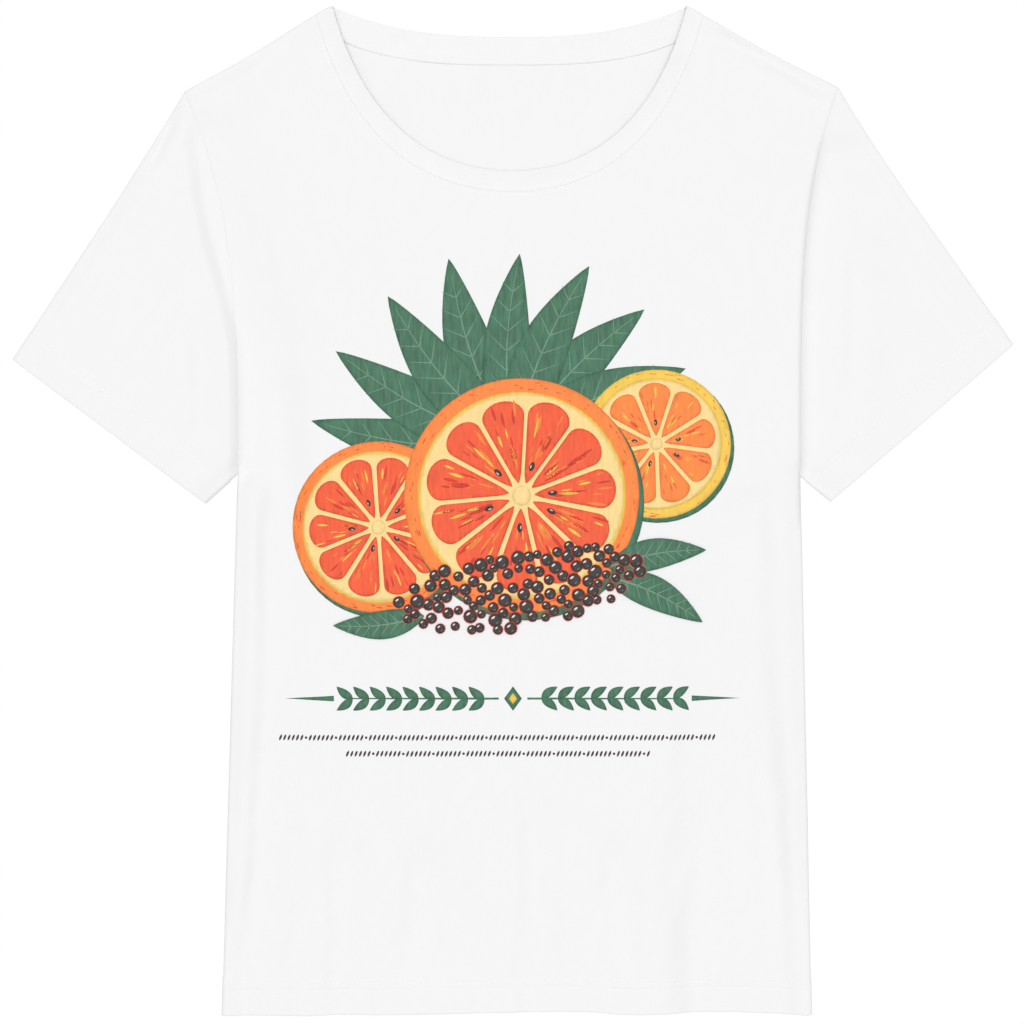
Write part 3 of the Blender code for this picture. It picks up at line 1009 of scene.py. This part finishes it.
def draw_wheel(layer, place, radius, turn, segments, inks, seed):
    """A slice across a round fruit: skin, rind, pith, segments with their pulp, and pips."""
    skin, rind, pith, flesh, deep, light = inks
    chance = np.random.default_rng(seed)
    place = np.array(place)
    draw(skin, layer, disc(place + np.array(SKIN_SHIFT) * radius, radius * 1.01, 0.004, chance))
    draw(rind, layer + 1, disc(place, radius, 0.003, chance))
    for _ in range(int(radius * PORES)):
        at, out = chance.uniform(0, 2 * math.pi), radius * chance.uniform(*PORE_RING)
        length = chance.uniform(*PORE_LENGTHS)
        draw(deep, layer + 2, lens(polar(place, at, out), at + math.pi / 2, length, PORE_WIDTH, 0.6, 6))
    draw("yellow", layer + 2, disc(place, radius * RIND_LINE, 0.004, chance))
    draw(pith, layer + 3, disc(place, radius * PITH, 0.004, chance))
    step = 2 * math.pi / segments
    for i in range(segments):
        at = turn + i * step
        half = step / 2 * chance.uniform(0.94, 1.0)
        outer = radius * chance.uniform(*FLESH_ENDS)
        segment = segment_outline(radius * FLESH_START, outer, half, FLESH_GAP)
        draw(flesh, layer + 4, turned(segment, at, place))
        for _ in range(int(PULP * radius)):
            out = radius * chance.uniform(*PULP_RING)
            off = at + chance.uniform(-0.78, 0.78) * half * min(1, out / radius * 1.5)
            ink = (deep, light, light, deep, "yellow")[chance.integers(5)]
            size = radius * chance.uniform(*PULP_LENGTHS)
            stroke = lens(polar(place, off, out), off, size, size * chance.uniform(0.1, 0.2), 0.7, 8)
            draw(ink, layer + 5, stroke)
        if i % 2 == 0:
            spot = polar(place, at, radius * chance.uniform(*PIP_RING))
            draw_pip(layer + 6, spot, at, radius * PIP_LENGTH)
    draw(pith, layer + 5, disc(place, radius * HEART, 0.05, chance))


def draw_pip(layer, spot, turn, length):
    """A dark pip with a glint."""
    draw("charcoal", layer, lens(spot, turn, length, length * 0.52, 0.6, 10))
    glint = turned((-0.05 * length, 0.1 * length), turn, spot)
    draw("white", layer + 1, lens(glint, turn, length * 0.4, length * 0.11, 0.7, 6))


def draw_berries(layer, chance):
    """A spray of small dark berries with glints."""
    spots = []
    while len(spots) < BERRIES:
        at = chance.uniform(-1, 1, 2)
        if at @ at > 1:
            continue
        spot = turned(at * np.array(BERRY_SPREAD), BERRY_TURN, BERRY_PLACE)
        radius = chance.uniform(*BERRY_RADII)
        if all(np.linalg.norm(spot - other) > (radius + size) * BERRY_CLOSENESS for other, size in spots):
            spots.append((spot, radius))
    for i, (spot, radius) in enumerate(spots):
        own = layer + 3 * (i % 2)
        draw("deep_red", own, disc(spot, radius * BERRY_RIM, 0.02, chance))
        draw("charcoal", own + 1, disc(spot, radius, 0.03, chance))
        glint = spot + radius * np.array([-0.32, 0.36])
        draw("white", own + 2, lens(glint, GLINT_TURN, radius * 0.75, radius * 0.3, 0.7, 8))
        mark = spot + radius * np.array([0.3, -0.42])
        draw("pale_green", own + 2, lens(mark, GLINT_TURN, radius * 0.55, radius * 0.12, 0.7, 6))


def draw_border(layer):
    """The band below the fruit: tapered rules, and a stem with pairs of small leaves and a diamond."""
    y = BORDER_Y
    for side in SIDES:
        outer, inner, last = (side * x for x in BORDER_ENDS)
        draw("green", layer, [(outer, y), (inner, y + BORDER_RULE), (inner, y - BORDER_RULE)])
        draw("green", layer, ribbon(np.linspace((last, y), (side * DIAMOND_GAP, y), 12), BORDER_STEM))
        first, pitch = BORDER_LEAVES
        for x in np.arange(first, abs(last), pitch):
            for way in (-1, 1):
                turn = math.atan2(way * BORDER_LEAF_SLANT, side)
                draw("green", layer + 1, leaf_outline((side * x, y), turn, *BORDER_LEAF))
    for i, (ink, wide, high) in enumerate(DIAMONDS):
        draw(ink, layer + i, [(-wide, y), (0, y + high), (wide, y), (0, y - high)])


def draw_small_rows(layer):
    """Two rows of small leaning strokes below the band, with a dot after each few."""
    for y, start, end in SMALL_ROWS:
        for i, x in enumerate(np.arange(start, end, SMALL_PITCH)):
            if i % SMALL_GROUP == SMALL_GROUP - 1:
                draw("charcoal", layer, disc((x, y), SMALL_DOT))
            else:
                draw("charcoal", layer, lens((x, y), SMALL_STROKE_TURN, *SMALL_STROKE, 0.6, 10))


def draw_print():
    """The whole print, from the leaves at the back to the berries in front."""
    for i, (turn, length, width) in enumerate(LEAVES):
        draw_leaf(2 * (i % 3), LEAF_BASE, math.radians(90 - turn), length, width)
    for layer, place, radius, turn, segments, inks, seed in WHEELS:
        draw_wheel(layer, place, radius, math.radians(turn), segments, inks, seed)
    chance = np.random.default_rng(PRINT_SEED)
    for base, turn, length, width in FRONT_LEAVES:
        draw_leaf(FRONT_LAYER, base, math.radians(turn), length, width)
    draw_berries(FRONT_LAYER + 2, chance)
    draw_border(0)
    draw_small_rows(0)


def inside(points, outline):
    """Which points are inside an outline."""
    hit = np.zeros(len(points), bool)
    for (x0, y0), (x1, y1) in zip(outline, np.roll(outline, -1, axis=0)):
        if y0 == y1:
            continue
        spans = (points[:, 1] < y0) != (points[:, 1] < y1)
        hit ^= spans & (points[:, 0] < x0 + (points[:, 1] - y0) * (x1 - x0) / (y1 - y0))
    return hit


def dense(outline):
    """An outline with more points on its long stretches."""
    points = []
    for start, end in zip(outline, np.roll(outline, -1, axis=0)):
        count = max(math.ceil(np.linalg.norm(end - start) / INK_STEP), 1)
        points += [start + (end - start) * i / count for i in range(count)]
    return np.array(points)


def filled(outline):
    """An outline filled with triangles that are small enough to follow the cloth."""
    outline = dense(outline)
    low, high = np.ceil(outline.min(0) / INK_STEP), np.floor(outline.max(0) / INK_STEP) + 1
    axes = [np.arange(a, b) * INK_STEP for a, b in zip(low, high)]
    lattice = np.stack(np.meshgrid(*axes, indexing="ij"), -1).reshape(-1, 2)
    if len(lattice):
        lattice = lattice[inside(lattice, outline)]
    if len(lattice):
        lattice = lattice[near(lattice, np.concatenate([outline, outline[:1]]))[0] > INK_STEP * INK_MARGIN]
    points = np.concatenate([outline, lattice])
    ring = [(i, (i + 1) % len(outline)) for i in range(len(outline))]
    made = geometry.delaunay_2d_cdt([tuple(p) for p in points.tolist()], ring, [], 1, INK_MERGE)
    return np.array([tuple(p) for p in made[0]]), [list(face) for face in made[2]]


def build_print():
    """One piece for each ink, lying on the front and following its folds."""
    draw_print()
    made = []
    for name, shapes in INK.items():
        points, faces, layers = [], [], []
        for layer, outline in shapes:
            shape, triangles = filled(outline)
            first = sum(len(p) for p in points)
            faces += [[first + i for i in face] for face in triangles]
            points.append(shape)
            layers.append(np.full(len(shape), layer))
        flat = np.concatenate(points)
        lift = INK_LIFT + np.concatenate(layers) * INK_LAYER
        z = front_height(flat) + JERSEY / 2 + lift
        obj = mesh_object("print_" + name, np.column_stack([flat, z]), faces, flat)
        obj.data.shade_smooth()
        film = obj.modifiers.new("Film", "SOLIDIFY")
        film.thickness = INK_FILM
        film.offset = -1
        give(obj, ink_material("ink_" + name, *INKS[name]))
        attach(obj, "root")
        made.append(obj)
    return made


def math_node(tree, operation, first, second=None):
    """A math node on sockets or numbers, and its result."""
    node = tree.nodes.new("ShaderNodeMath")
    node.operation = operation
    for socket, value in zip(node.inputs, (first, second)):
        if isinstance(value, (int, float)):
            socket.default_value = value
        elif value is not None:
            tree.links.new(value, socket)
    return node.outputs[0]


def set_inputs(node, values):
    """Sets a node's own values by the names of its sockets."""
    for name, value in values.items():
        node.inputs[name].default_value = value


def noise_node(tree, vector, scale, detail):
    """Noise over the cloth."""
    node = tree.nodes.new("ShaderNodeTexNoise")
    set_inputs(node, {"Scale": scale, "Detail": detail, "Roughness": NOISE_ROUGHNESS})
    tree.links.new(vector, node.inputs["Vector"])
    return node.outputs["Fac"]


def stretched(tree, vector, share, turn=0.0):
    """A place on the cloth drawn out along one way, for streaks."""
    node = tree.nodes.new("ShaderNodeMapping")
    set_inputs(node, {"Scale": (1.0, share, 1.0), "Rotation": (0, 0, turn)})
    tree.links.new(vector, node.inputs["Vector"])
    return node.outputs[0]


def range_node(tree, value, low, high, to_low=0.0, to_high=1.0):
    """A value mapped from one range to another."""
    node = tree.nodes.new("ShaderNodeMapRange")
    set_inputs(node, {"From Min": low, "From Max": high, "To Min": to_low, "To Max": to_high})
    tree.links.new(value, node.inputs["Value"])
    return node.outputs["Result"]


def blend(tree, first, share, second):
    """Two values mixed: the first by this share, the second by the rest."""
    rest = math_node(tree, "MULTIPLY", second, 1 - share)
    return math_node(tree, "ADD", math_node(tree, "MULTIPLY", first, share), rest)


def shade(colour, gain, lift=0.0):
    """A colour made darker or lighter."""
    return [min(value * gain + lift, 1) for value in colour]


def tint(tree, shader, share, low, high):
    """Colours a shader between two colours, by a share."""
    node = tree.nodes.new("ShaderNodeMix")
    node.data_type = "RGBA"
    tree.links.new(share, node.inputs[0])
    node.inputs[6].default_value = (*low, 1)
    node.inputs[7].default_value = (*high, 1)
    tree.links.new(node.outputs[2], shader.inputs["Base Color"])


def weave_place(tree):
    """The place on the flat cloth, in metres, as a vector and as its two numbers."""
    node = tree.nodes.new("ShaderNodeAttribute")
    node.attribute_name = "weave"
    split = tree.nodes.new("ShaderNodeSeparateXYZ")
    tree.links.new(node.outputs["Vector"], split.inputs[0])
    return node.outputs["Vector"], split.outputs[0], split.outputs[1]


def knit_height(tree, u, v):
    """The loops of plain knit: columns of small chevrons."""
    across = math_node(tree, "DIVIDE", u, WALE)
    column = math_node(tree, "MULTIPLY", math_node(tree, "PINGPONG", across, 0.5), 2.0)
    lean = math_node(tree, "MULTIPLY", column, 0.35)
    course = math_node(tree, "ADD", math_node(tree, "DIVIDE", v, COURSE), lean)
    loop = math_node(tree, "SINE", math_node(tree, "MULTIPLY", course, 2 * math.pi))
    crown = math_node(tree, "SUBTRACT", 1.0, math_node(tree, "POWER", column, 2.0))
    return blend(tree, crown, 0.7, loop)


def bumped(tree, shader, height, bump, normal=None):
    """Bump on a shader from a height. bump is its strength and its depth."""
    node = tree.nodes.new("ShaderNodeBump")
    set_inputs(node, {"Strength": bump[0], "Distance": bump[1]})
    tree.links.new(height, node.inputs["Height"])
    if normal is not None:
        tree.links.new(normal, node.inputs["Normal"])
    tree.links.new(node.outputs["Normal"], shader.inputs["Normal"])
    return node.outputs["Normal"]


def new_material(name):
    """A material, its node tree and its shader."""
    material = bpy.data.materials.new(name)
    material.use_nodes = True
    return material, material.node_tree, material.node_tree.nodes["Principled BSDF"]


def cloth_material(name, colour):
    """Cotton knit: faint mottling, fine loops and a soft sheen."""
    material, tree, shader = new_material(name)
    vector, u, v = weave_place(tree)
    patches = noise_node(tree, stretched(tree, vector, 0.4), *PATCHES)
    fibres = noise_node(tree, vector, *FIBRES)
    share = range_node(tree, blend(tree, patches, 0.7, fibres), 0.3, 0.7)
    tint(tree, shader, share, shade(colour, 1 - MOTTLE), shade(colour, 1 + MOTTLE))
    tree.links.new(range_node(tree, fibres, 0.2, 0.8, 0.8, 0.95), shader.inputs["Roughness"])
    normal = bumped(tree, shader, knit_height(tree, u, v), KNIT_BUMP)
    bumped(tree, shader, patches, PATCH_BUMP, normal)
    set_inputs(shader, {"Sheen Weight": SHEEN, "Sheen Roughness": 0.6, "Specular IOR Level": CLOTH_SHINE})
    return material


def rib_material(name, colour):
    """Ribbing: fine lengthways ribs over the modelled ones, and faint mottling."""
    material, tree, shader = new_material(name)
    vector, u, _ = weave_place(tree)
    patches = noise_node(tree, vector, *RIB_PATCHES)
    share = range_node(tree, patches, 0.3, 0.7)
    tint(tree, shader, share, shade(colour, 1 - RIB_MOTTLE), shade(colour, 1 + RIB_MOTTLE))
    tree.links.new(range_node(tree, patches, 0.2, 0.8, 0.82, 0.94), shader.inputs["Roughness"])
    ribs = math_node(tree, "SINE", math_node(tree, "MULTIPLY", u, 4 * math.pi / RIB_PITCH))
    bumped(tree, shader, ribs, RIB_BUMP)
    set_inputs(shader, {"Sheen Weight": SHEEN, "Specular IOR Level": CLOTH_SHINE})
    return material


def linear(code):
    """The linear colour of a six-digit colour code under this light."""
    parts = [(code >> shift & 255) / 255 for shift in (16, 8, 0)]
    return [min(((part + 0.055) / 1.055) ** 2.4 / INK_GAIN, 1) for part in parts]


def ink_material(name, code, streaks):
    """Screen print: a thin rubbery film, a little streaked, with the knit showing through."""
    material, tree, shader = new_material(name)
    vector, u, v = weave_place(tree)
    strokes = noise_node(tree, stretched(tree, vector, 0.16, INK_STREAK_TURN), *STROKES)
    wear = noise_node(tree, vector, *WEAR)
    share = range_node(tree, blend(tree, strokes, 0.6, wear), 0.36, 0.64)
    colour = linear(code)
    lighter = shade(colour, 1 + streaks * 1.3, streaks * 0.02)
    tint(tree, shader, share, shade(colour, 1 - streaks), lighter)
    tree.links.new(range_node(tree, wear, 0.3, 0.7, 0.55, 0.75), shader.inputs["Roughness"])
    bumped(tree, shader, knit_height(tree, u, v), INK_BUMP)
    set_inputs(shader, {"Specular IOR Level": INK_SHINE})
    return material


def thread_material(name, colour):
    """Sewing thread: a fine twist along it, with painted shade in the grooves of the twist."""
    material, tree, shader = new_material(name)
    _, u, v = weave_place(tree)
    turns = math_node(tree, "MULTIPLY", math_node(tree, "ADD", u, v), THREAD_TWIST)
    twist = math_node(tree, "SINE", turns)
    # The thread is darker where the twist is low: painted shade in the grooves of the twist.
    tint(tree, shader, range_node(tree, twist, -1, 1), shade(colour, 0.95), colour)
    bumped(tree, shader, twist, THREAD_BUMP)
    set_inputs(shader, {"Roughness": 0.6})
    return material


def give(obj, material):
    """Sets an object's only material."""
    obj.data.materials.clear()
    obj.data.materials.append(material)


def build_shirt():
    """All the cloth, riding on the shirt's one body."""
    front = panel("cloth_front", FRONT_SEAMS, front_height, FRONT_STEP)
    back = panel("cloth_back", BACK_SEAMS, back_height, BACK_STEP)
    sleeves = {LEFT: sleeve("cloth_sleeve_left", LEFT), RIGHT: sleeve("cloth_sleeve_right", RIGHT)}
    band = neckband("cloth_neckband")
    jersey = cloth_material("white_jersey", JERSEY_COLOUR)
    for obj in (front, back, *sleeves.values()):
        give(obj, jersey)
    give(band, rib_material("white_rib", RIB_COLOUR))
    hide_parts("front")
    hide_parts("back")
    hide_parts("sleeve_left")
    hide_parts("sleeve_right")
    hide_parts("neckband")
    for obj in (front, back, *sleeves.values(), band):
        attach(obj, "root")
    return front, back, sleeves, band


def build_stitching():
    """The rows of stitches on the hem, the cuffs and beside the neck seam."""
    hem_top = JERSEY * HEM_LAYERS / 2 - STITCH_RADIUS * STITCH_SINK
    one_top = JERSEY / 2 - STITCH_RADIUS * STITCH_SINK
    hem_rows = [(dense_hem() + np.array([0, away]), front_height, hem_top) for away, _ in HEM_STITCHES]
    cuff_rows = []
    for side in SIDES:
        for away, _ in CUFF_STITCHES:
            line = offset_line(even_points(CUFFS[side], CURVE_POINTS), side * away)
            cuff_rows.append((line, lambda p, side=side: sleeve_height(p, side), hem_top))
    neck_rows = [(offset_line(FRONT_SEAM, -away), front_height, one_top) for away, _ in NECK_STITCHES]
    # The thread's lighter colour is partly a painted highlight on the stitches.
    thread = thread_material("white_thread", THREAD_COLOUR_WITH_PAINTED_HIGHLIGHT)
    made = []
    for name, rows in (("hem", hem_rows), ("cuffs", cuff_rows), ("neck", neck_rows)):
        obj = stitched("stitches_" + name, rows)
        give(obj, thread)
        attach(obj, "root")
        made.append(obj)
    return made


def build_stage():
    """A pale floor that glows a little, as on a light table."""
    half = FLOOR_SIZE / 2
    corners = np.array([(-half, -half, 0), (half, -half, 0), (half, half, 0), (-half, half, 0)])
    floor = mesh_object("floor", corners, [(0, 1, 2, 3)], corners[:, :2])
    material, _, shader = new_material("pale_floor")
    set_inputs(shader, {
        "Base Color": (FLOOR_COLOUR, FLOOR_COLOUR, FLOOR_COLOUR, 1),
        "Roughness": 1.0,
        "Specular IOR Level": 0.0,
        "Emission Color": (1, 1, 1, 1),
        "Emission Strength": FLOOR_GLOW,
    })
    give(floor, material)


def build_light():
    """Even light from all round, and a wide far softbox a little towards the collar."""
    scene = bpy.context.scene
    world = bpy.data.worlds.new("studio")
    world.use_nodes = True
    background = world.node_tree.nodes["Background"]
    set_inputs(background, {"Color": (1, 1, 1, 1), "Strength": WORLD_STRENGTH})
    scene.world = world
    lamp = bpy.data.lights.new("softbox", "SUN")
    lamp.angle = SOFTBOX_SPREAD
    lamp.energy = SOFTBOX_POWER
    new_object("softbox", lamp).rotation_euler = (-SOFTBOX_TILT, 0, 0)
    scene.view_settings.view_transform = "Standard"


def build_camera():
    """A long lens straight above the shirt, with the collar at the top of the picture."""
    data = bpy.data.cameras.new("camera")
    data.lens = LENS
    data.sensor_width = SENSOR
    data.clip_end = 100
    camera = new_object("camera", data)
    camera.location = (*PICTURE_CENTRE, MIDDLE_HEIGHT + PICTURE_WIDTH * LENS / SENSOR)
    bpy.context.scene.camera = camera


cloth = build_shirt()
stitches = build_stitching()
inks = build_print()
build_stage()
build_light()
build_camera()
